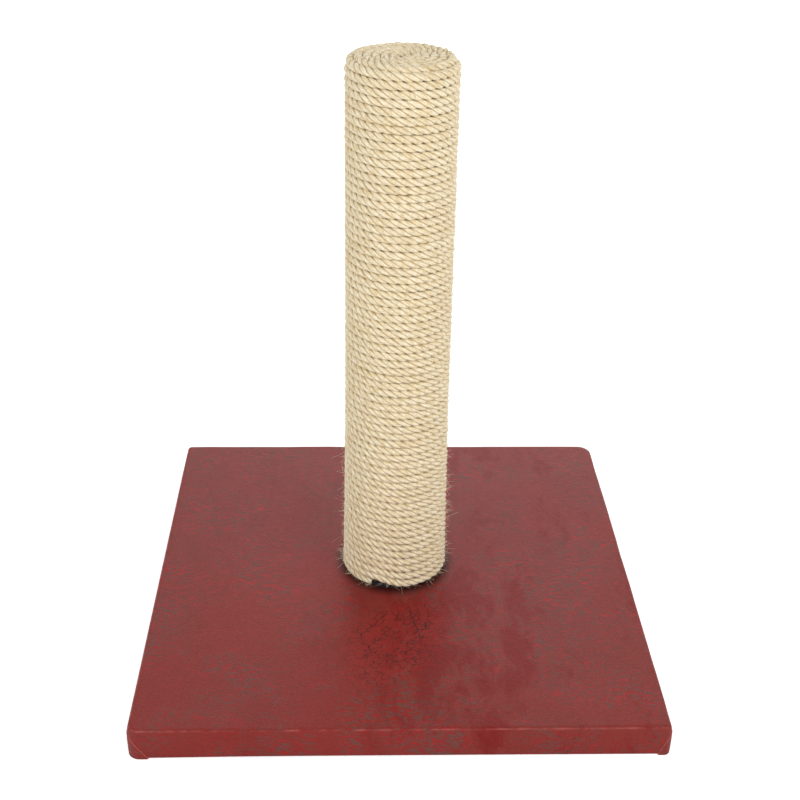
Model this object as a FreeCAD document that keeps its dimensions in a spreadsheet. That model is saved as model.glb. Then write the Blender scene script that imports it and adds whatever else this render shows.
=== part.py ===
"""A free-standing cat scratching post: a rope-wound post bolted to a square base board in a wrapped cover.

Frame: +Z up, origin at the middle of the underside, -Y is the front, all sizes in millimetres.
"""

import FreeCAD, Part

import math
import os

import Sketcher

Vector = FreeCAD.Vector

# name, value, what it is
SIZES = [
    ("base_width", 400.0, "base across the front, outside the cover"),
    ("base_depth", 400.0, "base from front to back, outside the cover"),
    ("board_thickness", 22.0, "particle board inside the base"),
    ("board_corner_front_left", 7.0, "plan radius of the board's corner"),
    ("board_corner_front_right", 3.0, "plan radius of the board's corner"),
    ("board_corner_back_right", 11.0, "plan radius of the board's corner"),
    ("board_corner_back_left", 2.5, "plan radius of the board's corner"),
    ("cover_thickness", 1.6, "leatherette with its fleece backing"),
    ("cover_edge_round", 2.4, "rounding of the cover's top edge"),
    ("hem_width", 45.0, "cover turned under the board"),
    ("fold_width_left", 15.0, "foot of the lapped fold from the base's left side"),
    ("fold_width_right", 9.0, "foot of the lapped fold from the base's right side"),
    ("fold_height", 22.0, "height of the lapped folds at the base's sides"),
    ("fold_thickness", 0.8, "how far the lapped folds stand off the cover"),
    ("liner_thickness", 0.8, "felt liner where it is pressed on the hem"),
    ("liner_margin", 12.0, "cover left showing round the liner"),
    ("liner_gap", 0.6, "between the liner's thick middle and the hem"),
    ("liner_corner", 10.0, "plan radius of the liner's corners"),
    ("access_diameter", 38.0, "hole in the liner for the spanner"),
    ("counterbore_diameter", 32.0, "recess for the washer and bolt head"),
    ("counterbore_depth", 12.0, "recess depth into the board"),
    ("bolt_hole_diameter", 9.0, "clearance hole through board, cover and cap"),
    ("bolt_diameter", 8.0, "post bolt"),
    ("bolt_length", 45.0, "post bolt under its head"),
    ("bolt_head_flats", 13.0, "hexagon across flats of bolt and nut"),
    ("bolt_head_height", 5.3, "post bolt head"),
    ("washer_diameter", 24.0, "wide washer"),
    ("washer_hole", 8.4, "wide washer's bore"),
    ("washer_thickness", 2.0, "wide washer"),
    ("nut_height", 6.5, "hexagon nut"),
    ("thread_clearance", 0.05, "radial clearance of the bolt in the nut"),
    ("nut_pocket_clearance", 0.15, "per side, nut in its pocket"),
    ("post_setback", 10.0, "post's axis behind the middle of the base"),
    ("tube_diameter", 70.0, "cardboard core tube outside"),
    ("tube_wall", 4.0, "cardboard core tube wall"),
    ("tube_length", 426.0, "cardboard core tube"),
    ("flange_thickness", 3.0, "foot cap's rim, on which the rope stands"),
    ("top_cap_thickness", 2.5, "top cap's plate"),
    ("top_cap_bevel", 2.0, "bevelled rim of the top cap, which the rope bends round"),
    ("cap_skirt_depth", 20.0, "skirt of either cap inside the tube"),
    ("cap_wall", 2.4, "wall of either cap's skirt"),
    ("cap_fit", 0.1, "radial clearance of the skirt in the tube"),
    ("boss_diameter", 24.0, "middle boss of either cap"),
    ("boss_height", 16.0, "foot cap's boss above its rim"),
    ("rib_thickness", 2.0, "radial ribs of either cap"),
    ("rib_height", 14.0, "radial ribs of either cap"),
    ("rope_diameter", 6.0, "sisal rope"),
    ("rope_clearance", 0.3, "between rope and what it lies on"),
    ("wrap_pitch", 6.45, "rise of the rope in one turn up the post"),
    ("spiral_pitch", 6.95, "step of the rope in one turn over the top"),
    ("spiral_end_radius", 6.0, "where the rope ends in the middle of the top"),
    ("rope_end_angle", 242.0, "direction of the rope's lower end, degrees from +X"),
    ("staple_crown", 10.0, "staple across its crown"),
    ("staple_wire", 1.2, "staple wire's width"),
    ("staple_flat", 0.6, "staple wire's thickness"),
    ("staple_leg", 9.0, "staple legs under the crown"),
    ("staple_inset", 34.0, "row of staples from the base's edge"),
]
CAP_RIBS = 6
STAPLES_PER_SIDE = 6
ROPE_SIDES = 5
LOWER_LOOPS = 3
UPPER_SIDE_LOOPS = 4
RAMP_START = 0.3
ARCS_PER_TURN = 4
GAP_SAMPLES_PER_TURN = 24

doc = FreeCAD.newDocument("scratching_post")
sheet = doc.addObject("Spreadsheet::Sheet", "Sizes")
for row, (name, value, note) in enumerate(SIZES, start=1):
    sheet.set(f"A{row}", name)
    sheet.set(f"B{row}", str(value))
    sheet.setAlias(f"B{row}", name)
    sheet.set(f"C{row}", note)
doc.recompute()

# Heights above the floor, as expressions on the sheet.
HEM_Z = "Sizes.liner_thickness"
BOARD_Z = f"({HEM_Z} + Sizes.cover_thickness)"
BASE_TOP_Z = f"({BOARD_Z} + Sizes.board_thickness + Sizes.cover_thickness)"
TUBE_Z = f"({BASE_TOP_Z} + Sizes.flange_thickness)"
TOP_CAP_Z = f"({TUBE_Z} + Sizes.tube_length)"
SEAT_Z = f"({BOARD_Z} + Sizes.counterbore_depth)"
HEAD_Z = f"({SEAT_Z} - Sizes.washer_thickness - Sizes.bolt_head_height)"
NUT_Z = f"({TUBE_Z} + Sizes.boss_height - Sizes.nut_height)"
SKIRT_RADIUS = "(Sizes.tube_diameter / 2 - Sizes.tube_wall - Sizes.cap_fit)"


def size(name):
    """One value of the sheet."""
    return float(sheet.get(name))


def number(expression):
    """What an expression on the sheet comes to."""
    return float(sheet.evalExpression(expression))


def bind(thing, **expressions):
    """Ties properties of an object to expressions; a double underscore stands for a dot."""
    for name, expression in expressions.items():
        thing.setExpression(name.replace("__", "."), expression)
    return thing


def place(thing, z="0", x="0", y="0"):
    """Ties the object's place to expressions."""
    return bind(thing, Placement__Base__x=x, Placement__Base__y=y, Placement__Base__z=z)


def on_post(thing, z):
    """Sets a piece of the post on the post's axis at a height."""
    return place(thing, z=z, y="Sizes.post_setback")


# ---------------------------------------------------------------- sketches and bodies


def new_body(name):
    body = doc.addObject("PartDesign::Body", name)
    body.Label = name
    return body


def new_sketch(body, name, plane="XY_Plane"):
    """An empty sketch on one of the body's own origin planes."""
    sketch = body.newObject("Sketcher::SketchObject", name)
    origin_plane = next(f for f in body.Origin.OriginFeatures if f.Role == plane)
    sketch.AttachmentSupport = (origin_plane, [""])
    sketch.MapMode = "FlatFace"
    return sketch


def draw_outline(sketch, corners):
    """Closed outline of straight lines; each corner is a pair of expressions, and "0" puts it on an axis."""
    points = [Vector(number(x), number(y), 0) for x, y in corners]
    lines = []
    for start, end in zip(points, points[1:] + points[:1]):
        lines.append(sketch.addGeometry(Part.LineSegment(start, end), False))
    for line, following in zip(lines, lines[1:] + lines[:1]):
        sketch.addConstraint(Sketcher.Constraint("Coincident", line, 2, following, 1))
    for line, corner, point in zip(lines, corners, points):
        for kind, axis, expression, at in (
            ("DistanceX", -2, corner[0], point.x),
            ("DistanceY", -1, corner[1], point.y),
        ):
            if expression == "0":
                sketch.addConstraint(Sketcher.Constraint("PointOnObject", line, 1, axis))
                continue
            datum = sketch.addConstraint(Sketcher.Constraint(kind, -1, 1, line, 1, at))
            sketch.setExpression(f"Constraints[{datum}]", expression)


def draw_centred_rectangle(sketch, width, depth):
    """Rectangle about the origin, its sides tied to two expressions."""
    half_x, half_y = number(width) / 2, number(depth) / 2
    corners = [
        Vector(-half_x, -half_y, 0),
        Vector(half_x, -half_y, 0),
        Vector(half_x, half_y, 0),
        Vector(-half_x, half_y, 0),
    ]
    for start, end in zip(corners, corners[1:] + corners[:1]):
        sketch.addGeometry(Part.LineSegment(start, end), False)
    for line in range(4):
        sketch.addConstraint(Sketcher.Constraint("Coincident", line, 2, (line + 1) % 4, 1))
    sketch.addConstraint(Sketcher.Constraint("Horizontal", 0))
    sketch.addConstraint(Sketcher.Constraint("Horizontal", 2))
    sketch.addConstraint(Sketcher.Constraint("Vertical", 1))
    sketch.addConstraint(Sketcher.Constraint("Vertical", 3))
    sketch.addConstraint(Sketcher.Constraint("Symmetric", 0, 1, 1, 2, -1, 1))
    across = sketch.addConstraint(Sketcher.Constraint("DistanceX", 0, 1, 0, 2, 2 * half_x))
    sketch.setExpression(f"Constraints[{across}]", width)
    along = sketch.addConstraint(Sketcher.Constraint("DistanceY", 1, 1, 1, 2, 2 * half_y))
    sketch.setExpression(f"Constraints[{along}]", depth)


def pad(body, sketch, name, height):
    feature = body.newObject("PartDesign::Pad", name)
    feature.Profile = sketch
    bind(feature, Length=height)
    doc.recompute()
    return feature


def fillet(body, base, name, edges, radius):
    feature = body.newObject("PartDesign::Fillet", name)
    feature.Base = (base, edges)
    bind(feature, Radius=radius)
    doc.recompute()
    return feature


def upright_edge(shape, x_sign, y_sign):
    """Name of the upright edge in one quarter of the plan."""
    for index, edge in enumerate(shape.Edges, start=1):
        ends = [v.Point for v in edge.Vertexes]
        upright = len(ends) == 2 and abs(ends[0].z - ends[1].z) > 1e-3
        middle = edge.CenterOfMass
        if upright and middle.x * x_sign > 0 and middle.y * y_sign > 0:
            return f"Edge{index}"
    raise ValueError("no upright edge there")


def rim_edges(shape, z):
    """Names of the edges that lie at one height."""
    return [
        f"Edge{index}"
        for index, edge in enumerate(shape.Edges, start=1)
        if abs(edge.BoundBox.ZMin - z) < 1e-4 and abs(edge.BoundBox.ZMax - z) < 1e-4
    ]


def block(name, width, depth, height, corners, top_round=None):
    """Flat block with its own radius at each corner, and a rounded top edge where one is asked for."""
    body = new_body(name)
    sketch = new_sketch(body, f"{name}_plan")
    draw_centred_rectangle(sketch, width, depth)
    last = pad(body, sketch, f"{name}_pad", height)
    signs = {"front_left": (-1, -1), "front_right": (1, -1), "back_right": (1, 1), "back_left": (-1, 1)}
    for where, radius in corners.items():
        edge = upright_edge(last.Shape, *signs[where])
        last = fillet(body, last, f"{name}_{where}", [edge], radius)
    if top_round:
        last = fillet(body, last, f"{name}_top", rim_edges(last.Shape, number(height)), top_round)
    return body


def cylinder(name, diameter, height, z, y="Sizes.post_setback"):
    tool = doc.addObject("Part::Cylinder", name)
    bind(tool, Radius=f"{diameter} / 2", Height=height)
    return place(tool, z=z, y=y)


def cut(name, base, *tools):
    """Base less each tool in turn; the last step carries the name."""
    for step, tool in enumerate(tools, start=1):
        last = step == len(tools)
        feature = doc.addObject("Part::Cut", name if last else f"{name}_cut_{step}")
        feature.Base = base
        feature.Tool = tool
        base = feature
    doc.recompute()
    base.Label = name
    return base


def fuse(name, *shapes):
    feature = doc.addObject("Part::MultiFuse", name)
    feature.Shapes = list(shapes)
    feature.Refine = True
    feature.Label = name
    doc.recompute()
    return feature


# ---------------------------------------------------------------- base


def corner_radii(extra="0"):
    """The board's four corner radii, each larger by an expression."""
    corners = ("front_left", "front_right", "back_right", "back_left")
    return {c: f"Sizes.board_corner_{c} + {extra}" for c in corners}


def staple_places():
    """Middle and run direction of each staple's crown, in the plan."""
    half_x = size("base_width") / 2 - size("staple_inset")
    half_y = size("base_depth") / 2 - size("staple_inset")
    places = []
    for i in range(STAPLES_PER_SIDE):
        share = 2 * (i + 0.5) / STAPLES_PER_SIDE - 1
        for sign in (-1, 1):
            places.append((share * half_x, sign * half_y, True))
            places.append((sign * half_x, share * half_y, False))
    return places


def make_staple(x, y, along_x):
    """One staple pushed up into the board, its crown flush in the hem's underside."""
    crown, wire, flat = size("staple_crown"), size("staple_wire"), size("staple_flat")
    foot = number(HEM_Z)
    long_x, long_y = (crown, wire) if along_x else (wire, crown)
    solid = Part.makeBox(long_x, long_y, flat, Vector(x - long_x / 2, y - long_y / 2, foot))
    leg_x, leg_y = (flat, wire) if along_x else (wire, flat)
    reach = (crown - flat) / 2
    for side in (-1, 1):
        middle_x = x + side * reach * along_x
        middle_y = y + side * reach * (not along_x)
        corner = Vector(middle_x - leg_x / 2, middle_y - leg_y / 2, foot)
        solid = solid.fuse(Part.makeBox(leg_x, leg_y, size("staple_leg"), corner))
    return solid.removeSplitter()


def make_staples():
    staples = doc.addObject("Part::Feature", "cover_staples")
    staples.Label = "cover_staples"
    staples.Shape = Part.makeCompound([make_staple(*where) for where in staple_places()])
    return staples


def make_fold_wedge(name, side, width):
    """Slanting wedge from front to back that holds one side's folds; side is -1 on the left and 1 on the right."""
    body = new_body(name)
    sketch = new_sketch(body, f"{name}_outline", "XZ_Plane")
    edge, outside = "Sizes.base_width / 2", "Sizes.fold_thickness"
    height = f"Sizes.fold_height * (1 + {outside} / {width})"
    draw_outline(
        sketch,
        [
            (f"{side} * ({edge} - {width})", HEM_Z),
            (f"{side} * ({edge} + {outside})", HEM_Z),
            (f"{side} * ({edge} + {outside})", f"{HEM_Z} + {height}"),
        ],
    )
    pad(body, sketch, f"{name}_pad", "2 * Sizes.base_depth")
    return place(body, y="Sizes.base_depth")


def make_wrap(name, depth):
    """The cover's outside as a solid block, standing on its hem."""
    wrap = block(
        name,
        "Sizes.base_width",
        depth,
        "Sizes.board_thickness + 2 * Sizes.cover_thickness",
        corner_radii("Sizes.cover_thickness"),
        "Sizes.cover_edge_round",
    )
    return place(wrap, z=HEM_Z)


def make_folds():
    """Corner folds: the sides' leatherette lapped over the front and back faces under a slanting edge."""
    folds = doc.addObject("Part::Common", "cover_folds")
    folds.Base = make_wrap("fold_blank", "Sizes.base_depth + 2 * Sizes.fold_thickness")
    folds.Tool = fuse(
        "fold_wedges",
        make_fold_wedge("left_fold_wedge", -1, "Sizes.fold_width_left"),
        make_fold_wedge("right_fold_wedge", 1, "Sizes.fold_width_right"),
    )
    doc.recompute()
    return folds


def make_base(staples):
    board_width = "Sizes.base_width - 2 * Sizes.cover_thickness"
    board_depth = "Sizes.base_depth - 2 * Sizes.cover_thickness"
    blank = block(
        "board_blank",
        board_width,
        board_depth,
        "Sizes.board_thickness",
        corner_radii(),
    )
    place(blank, z=BOARD_Z)
    bolt_hole = cylinder("bolt_hole", "Sizes.bolt_hole_diameter", BASE_TOP_Z, "0")
    recess = cylinder("bolt_recess", "Sizes.counterbore_diameter", SEAT_Z, "0")
    board = cut("base_board", blank, bolt_hole, recess, staples)

    wrap = fuse("cover_blank", make_wrap("cover_wrap", "Sizes.base_depth"), make_folds())
    window = doc.addObject("Part::Box", "hem_window")
    window_width = "Sizes.base_width - 2 * Sizes.hem_width"
    window_depth = "Sizes.base_depth - 2 * Sizes.hem_width"
    bind(window, Length=window_width, Width=window_depth, Height=BOARD_Z)
    place(window, x=f"-({window_width}) / 2", y=f"-({window_depth}) / 2")
    cover = cut("base_cover", wrap, blank, window, bolt_hole, staples)

    liner_plan = ("Sizes.base_width - 2 * Sizes.liner_margin", "Sizes.base_depth - 2 * Sizes.liner_margin")
    liner_corners = {c: "Sizes.liner_corner" for c in corner_radii()}
    sheet_layer = block("liner_sheet", *liner_plan, "Sizes.liner_thickness", liner_corners)
    middle = block(
        "liner_middle",
        f"{window_width} - 2 * Sizes.liner_gap",
        f"{window_depth} - 2 * Sizes.liner_gap",
        BOARD_Z,
        {},
    )
    access = cylinder("liner_access", "Sizes.access_diameter", BOARD_Z, "0")
    liner = cut("base_liner", fuse("liner_blank", sheet_layer, middle), access)
    return board, cover, liner


# ---------------------------------------------------------------- post


def revolve(name, corners):
    """Body turned from a closed half profile about the post's axis."""
    body = new_body(name)
    sketch = new_sketch(body, f"{name}_profile", "XZ_Plane")
    draw_outline(sketch, corners)
    feature = body.newObject("PartDesign::Revolution", f"{name}_turned")
    feature.Profile = sketch
    feature.ReferenceAxis = (sketch, ["V_Axis"])
    feature.Angle = 360
    doc.recompute()
    return body, feature


def add_ribs(body, name, z):
    """Radial ribs between a cap's boss and its skirt, standing on the plate."""
    sketch = new_sketch(body, f"{name}_rib_plan")
    bind(sketch, AttachmentOffset__Base__z=z)
    half = "Sizes.rib_thickness / 2"
    start = "Sizes.boss_diameter / 2 - Sizes.rib_thickness"
    end = f"{SKIRT_RADIUS} - Sizes.cap_wall / 2"
    draw_outline(sketch, [(start, f"-{half}"), (end, f"-{half}"), (end, half), (start, half)])
    rib = pad(body, sketch, f"{name}_rib", "Sizes.rib_height")
    ribs = body.newObject("PartDesign::PolarPattern", f"{name}_ribs")
    ribs.Originals = [rib]
    ribs.Axis = (next(f for f in body.Origin.OriginFeatures if f.Role == "Z_Axis"), [""])
    ribs.Angle = 360
    ribs.Occurrences = CAP_RIBS
    body.Tip = ribs
    doc.recompute()
    return ribs


def hexagon(body, name, flats, z, depth, subtract):
    """Hexagonal pad or pocket on the post's axis, going up from a height."""
    sketch = new_sketch(body, f"{name}_outline")
    bind(sketch, AttachmentOffset__Base__z=z)
    corner = f"({flats}) / 2 / cos(30)"
    half_side = f"({flats}) / 2 * tan(30)"
    flat = f"({flats}) / 2"
    draw_outline(
        sketch,
        [
            (corner, "0"),
            (half_side, flat),
            (f"-{half_side}", flat),
            (f"-{corner}", "0"),
            (f"-{half_side}", f"-{flat}"),
            (half_side, f"-{flat}"),
        ],
    )
    feature = body.newObject("PartDesign::Pocket" if subtract else "PartDesign::Pad", name)
    feature.Profile = sketch
    feature.Reversed = subtract
    bind(feature, Length=depth)
    doc.recompute()
    return feature


def make_foot_cap():
    """Black moulded cap: a rim under the rope, a skirt in the tube and a boss that holds the nut."""
    rim, hole = "(Sizes.tube_diameter / 2 + Sizes.rope_diameter)", "Sizes.bolt_hole_diameter / 2"
    skirt_inside = f"{SKIRT_RADIUS} - Sizes.cap_wall"
    plate, skirt_top = "Sizes.flange_thickness", "Sizes.flange_thickness + Sizes.cap_skirt_depth"
    boss_top = "Sizes.flange_thickness + Sizes.boss_height"
    body, _ = revolve(
        "post_foot_cap",
        [
            (hole, "0"),
            (rim, "0"),
            (rim, plate),
            (SKIRT_RADIUS, plate),
            (SKIRT_RADIUS, skirt_top),
            (skirt_inside, skirt_top),
            (skirt_inside, plate),
            ("Sizes.boss_diameter / 2", plate),
            ("Sizes.boss_diameter / 2", boss_top),
            (hole, boss_top),
        ],
    )
    add_ribs(body, "foot_cap", plate)
    pocket_flats = "Sizes.bolt_head_flats + 2 * Sizes.nut_pocket_clearance"
    pocket_floor = f"{boss_top} - Sizes.nut_height"
    hexagon(body, "nut_pocket", pocket_flats, pocket_floor, "Sizes.nut_height", True)
    return on_post(body, BASE_TOP_Z)


def make_top_cap():
    """Closed moulded cap that the rope's top spiral lies on; it hangs its skirt in the tube."""
    rim, inside = "Sizes.tube_diameter / 2", f"{SKIRT_RADIUS} - Sizes.cap_wall"
    plate_foot = "Sizes.cap_skirt_depth"
    plate_top = "Sizes.cap_skirt_depth + Sizes.top_cap_thickness"
    boss = "Sizes.boss_diameter / 2"
    rib_foot = "Sizes.cap_skirt_depth - Sizes.rib_height"
    body, turned = revolve(
        "post_top_cap",
        [
            ("0", rib_foot),
            (boss, rib_foot),
            (boss, plate_foot),
            (inside, plate_foot),
            (inside, "0"),
            (SKIRT_RADIUS, "0"),
            (SKIRT_RADIUS, plate_foot),
            (rim, plate_foot),
            (rim, plate_top),
            ("0", plate_top),
        ],
    )
    ribs = add_ribs(body, "top_cap", rib_foot)
    bevel = body.newObject("PartDesign::Chamfer", "top_cap_rim")
    bevel.Base = (ribs, rim_edges(ribs.Shape, number(plate_top)))
    bind(bevel, Size="Sizes.top_cap_bevel")
    doc.recompute()
    return on_post(body, f"{TOP_CAP_Z} - Sizes.cap_skirt_depth")


def make_tube():
    inner = "Sizes.tube_diameter / 2 - Sizes.tube_wall"
    outer = "Sizes.tube_diameter / 2"
    profile = [(inner, "0"), (outer, "0"), (outer, "Sizes.tube_length"), (inner, "Sizes.tube_length")]
    body, _ = revolve("core_tube", profile)
    return on_post(body, TUBE_Z)


def make_bolt():
    """Hexagon-head bolt that goes up through the base into the foot cap's nut."""
    body = new_body("post_bolt")
    hexagon(body, "bolt_head", "Sizes.bolt_head_flats", "0", "Sizes.bolt_head_height", False)
    radius, shank_foot = "Sizes.bolt_diameter / 2", "Sizes.bolt_head_height"
    tip = "Sizes.bolt_head_height + Sizes.bolt_length"
    shank = new_sketch(body, "bolt_shank_profile", "XZ_Plane")
    chamfer = "Sizes.bolt_diameter / 8"
    draw_outline(
        shank,
        [
            ("0", f"{shank_foot} / 2"),
            (radius, f"{shank_foot} / 2"),
            (radius, f"{tip} - {chamfer}"),
            (f"{radius} - {chamfer}", tip),
            ("0", tip),
        ],
    )
    turned = body.newObject("PartDesign::Revolution", "bolt_shank")
    turned.Profile = shank
    turned.ReferenceAxis = (shank, ["V_Axis"])
    turned.Angle = 360
    doc.recompute()
    return on_post(body, HEAD_Z)


def make_washer():
    inner, outer = "Sizes.washer_hole / 2", "Sizes.washer_diameter / 2"
    height = "Sizes.washer_thickness"
    body, _ = revolve("bolt_washer", [(inner, "0"), (outer, "0"), (outer, height), (inner, height)])
    return on_post(body, f"{SEAT_Z} - Sizes.washer_thickness")


def make_nut():
    blank = new_body("nut_blank")
    hexagon(blank, "nut_hexagon", "Sizes.bolt_head_flats", "0", "Sizes.nut_height", False)
    on_post(blank, NUT_Z)
    thread = cylinder(
        "nut_thread",
        "(Sizes.bolt_diameter + 2 * Sizes.thread_clearance)",
        "Sizes.nut_height",
        NUT_Z,
    )
    return cut("post_nut", blank, thread)


# ---------------------------------------------------------------- rope


class RopeRoute:
    """Middle line of the wound rope, seen as a climb along the post's side, over the rim and into the top.

    The climb is a path in a half plane through the post's axis: straight up the side, a quarter circle
    round the top cap's rim, then straight in. The half plane turns clockwise, seen from above. The lowest
    turns each lie level on the one below and step up to the next near the rope's lower end.
    """

    def __init__(self):
        lift = size("rope_clearance") + size("rope_diameter") / 2
        self.side_radius = size("tube_diameter") / 2 + lift
        self.start_z = number(TUBE_Z) + lift
        self.bend = size("top_cap_bevel") + lift
        self.bend_z = number(TOP_CAP_Z) + size("top_cap_thickness") - size("top_cap_bevel")
        self.side_turns = (self.bend_z - self.start_z) / size("wrap_pitch")
        flat_run = self.side_radius - self.bend - size("spiral_end_radius")
        over_top = self.bend * math.pi / 2 + flat_run
        self.turns = self.side_turns + over_top / size("spiral_pitch")

    def climb(self, turn):
        """Radius and height after so many turns."""
        if turn <= LOWER_LOOPS:
            whole, rest = divmod(turn, 1)
            ramp = max(0.0, (rest - RAMP_START) / (1 - RAMP_START))
            stepped = whole + ramp * ramp * (3 - 2 * ramp)
            return self.side_radius, self.start_z + stepped * size("wrap_pitch")
        if turn <= self.side_turns:
            return self.side_radius, self.start_z + turn * size("wrap_pitch")
        run = (turn - self.side_turns) * size("spiral_pitch")
        quarter = self.bend * math.pi / 2
        centre = self.side_radius - self.bend
        if run < quarter:
            angle = run / self.bend
            return centre + self.bend * math.cos(angle), self.bend_z + self.bend * math.sin(angle)
        return centre - (run - quarter), self.bend_z + self.bend

    def point(self, turn):
        radius, z = self.climb(turn)
        angle = math.radians(size("rope_end_angle")) - 2 * math.pi * turn
        return Vector(radius * math.cos(angle), size("post_setback") + radius * math.sin(angle), z)

    def direction(self, turn):
        step = 1e-4
        ahead = self.point(turn + step) - self.point(turn - step)
        return ahead.normalize()

    def least_gap(self, first, last):
        """Least free space between the rope and itself, measured on points a turn or so apart."""
        count = int((last - first) * GAP_SAMPLES_PER_TURN)
        points = [self.point(first + i / GAP_SAMPLES_PER_TURN) for i in range(count + 1)]
        least = float("inf")
        for i, here in enumerate(points):
            for there in points[i + GAP_SAMPLES_PER_TURN // 2 : i + 2 * GAP_SAMPLES_PER_TURN]:
                least = min(least, here.distanceToPoint(there))
        return least - size("rope_diameter")


def biarc(start, start_direction, end, end_direction):
    """Two arcs that join smoothly and leave and arrive along the given directions."""
    chord, both = end - start, start_direction + end_direction
    a = 2 * (start_direction.dot(end_direction) - 1)
    b = -2 * chord.dot(both)
    c = chord.dot(chord)
    reach = (-b - math.sqrt(b * b - 4 * a * c)) / (2 * a)
    first_corner = start + start_direction * reach
    last_corner = end - end_direction * reach
    joint = (first_corner + last_corner) / 2
    arcs = []
    for p, corner, q in ((start, first_corner, joint), (joint, last_corner, end)):
        weight = (q - p).Length / (2 * (corner - p).Length)
        middle = (p + corner * (2 * weight) + q) / (2 * (1 + weight))
        arcs.append(Part.Arc(p, middle, q).toShape())
    return arcs


def make_turns(name, route, first, last):
    """A faceted tube along the rope's middle line, one unbroken solid."""
    spans = math.ceil((last - first) * ARCS_PER_TURN / 2)
    stations = [first + (last - first) * i / spans for i in range(spans + 1)]
    arcs = []
    for here, there in zip(stations, stations[1:]):
        ends = (route.point(here), route.direction(here), route.point(there), route.direction(there))
        arcs.extend(biarc(*ends))
    path = Part.Wire(arcs)
    start, along = route.point(first), route.direction(first)
    inward = Vector(-start.x, size("post_setback") - start.y, 0).normalize()
    up = along.cross(inward)
    rim = []
    for side in range(ROPE_SIDES + 1):
        angle = 2 * math.pi * side / ROPE_SIDES
        offset = inward * math.cos(angle) + up * math.sin(angle)
        rim.append(start + offset * (size("rope_diameter") / 2))
    section = Part.makePolygon(rim)
    feature = doc.addObject("Part::Feature", name)
    feature.Shape = path.makePipeShell([section], True, False)
    ideal = ROPE_SIDES / 2 * math.sin(2 * math.pi / ROPE_SIDES) * (size("rope_diameter") / 2) ** 2
    print(
        f"{name}: {last - first:.1f} loops, rope {path.Length:.0f} mm, volume share "
        f"{feature.Shape.Volume / (ideal * path.Length):.4f}, least gap {route.least_gap(first, last):.2f} mm"
    )
    return feature


def make_sleeve(name, route, first, last):
    """Plain sleeve that fills the rope's space between two turns, clear of both."""
    reach = size("rope_diameter") / 2 + size("rope_clearance")
    foot = route.climb(first)[1] + reach
    height = route.climb(last)[1] - reach - foot
    outer = route.side_radius + size("rope_diameter") / 2
    inner = route.side_radius - size("rope_diameter") / 2
    base = Vector(0, size("post_setback"), foot)
    sleeve = doc.addObject("Part::Feature", name)
    sleeve.Shape = Part.makeCylinder(outer, height, base).cut(Part.makeCylinder(inner, height, base))
    return sleeve


def make_rope():
    """The one rope: real turns at the foot and at the top, and a sleeve for the many like turns between."""
    route = RopeRoute()
    upper_start = route.side_turns - UPPER_SIDE_LOOPS
    rope = doc.addObject("Part::Compound", "post_rope")
    rope.Label = "post_rope"
    rope.Links = [
        make_turns("rope_lower_turns", route, 0, LOWER_LOOPS),
        make_sleeve("rope_middle_turns", route, LOWER_LOOPS, upper_start),
        make_turns("rope_upper_turns", route, upper_start, route.turns),
    ]
    print(f"the whole rope has {route.turns:.1f} turns")
    return rope


# ---------------------------------------------------------------- build, check and write


def check(pieces):
    for thing in doc.Objects:
        if "Invalid" in thing.State or "Error" in thing.State:
            raise RuntimeError(f"{thing.Label} did not compute: {thing.State}")
    for piece in pieces:
        if piece.Shape.isNull() or not piece.Shape.isValid() or not piece.Shape.Solids:
            raise RuntimeError(f"{piece.Label} has no sound solid")


def main():
    staples = make_staples()
    pieces = [staples, *make_base(staples)]
    pieces += [make_washer(), make_bolt(), make_foot_cap(), make_nut(), make_tube(), make_top_cap()]
    pieces.append(make_rope())
    doc.recompute()
    check(pieces)
    os.makedirs("parts", exist_ok=True)
    for piece in pieces:
        piece.Shape.exportStep(os.path.join("parts", f"{piece.Label}.step"))
        box = piece.Shape.BoundBox
        print(
            f"{piece.Label:20s} solids {len(piece.Shape.Solids):3d} faces {len(piece.Shape.Faces):4d} "
            f"volume {piece.Shape.Volume:10.0f} z {box.ZMin:7.2f} to {box.ZMax:7.2f}"
        )


main()
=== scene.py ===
"""A cat scratching post, dressed for its picture.

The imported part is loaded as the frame. Over it go the laid sisal rope with its loose fibres, the leatherette cover
with its lapped corners and the felt under the base. The rigid pieces keep their own shapes and get their finishes.
Lengths are in metres, +Z is up and -Y is the front.
"""

import math
from functools import partial

import bpy
import numpy as np
from bpy.props import FloatProperty, FloatVectorProperty, IntProperty, PointerProperty
from mathutils import Matrix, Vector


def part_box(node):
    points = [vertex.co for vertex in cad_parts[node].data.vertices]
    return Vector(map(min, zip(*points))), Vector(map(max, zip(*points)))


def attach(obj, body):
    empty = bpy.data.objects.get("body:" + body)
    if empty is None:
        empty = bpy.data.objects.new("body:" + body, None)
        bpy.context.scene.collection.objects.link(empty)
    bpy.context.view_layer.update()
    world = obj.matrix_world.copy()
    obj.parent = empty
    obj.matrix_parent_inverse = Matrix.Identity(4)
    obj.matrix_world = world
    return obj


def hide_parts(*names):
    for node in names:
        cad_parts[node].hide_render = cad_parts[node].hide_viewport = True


bl_info = {
    "name": "Cat Scratching Post",
    "version": (1, 0, 0),
    "blender": (4, 5, 0),
    "location": "View3D > Sidebar > Scratching Post",
    "description": "Winds, covers and finishes a rope-wound cat scratching post on its frame",
    "category": "Object",
}

MM = 0.001
# The base's corners by their side in x and in y, in order round it.
CORNERS = {(-1, -1): "front_left", (1, -1): "front_right", (1, 1): "back_right", (-1, 1): "back_left"}
MOST_TRIANGLES = 190_000  # in one piece of the rope: past 200,000 its STL file is thinned
SMOOTH = {"interpolation_type": "SMOOTHSTEP"}  # a Map Range node's curve
TINTED = {"data_type": "RGBA"}  # a Mix node that mixes colours

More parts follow.
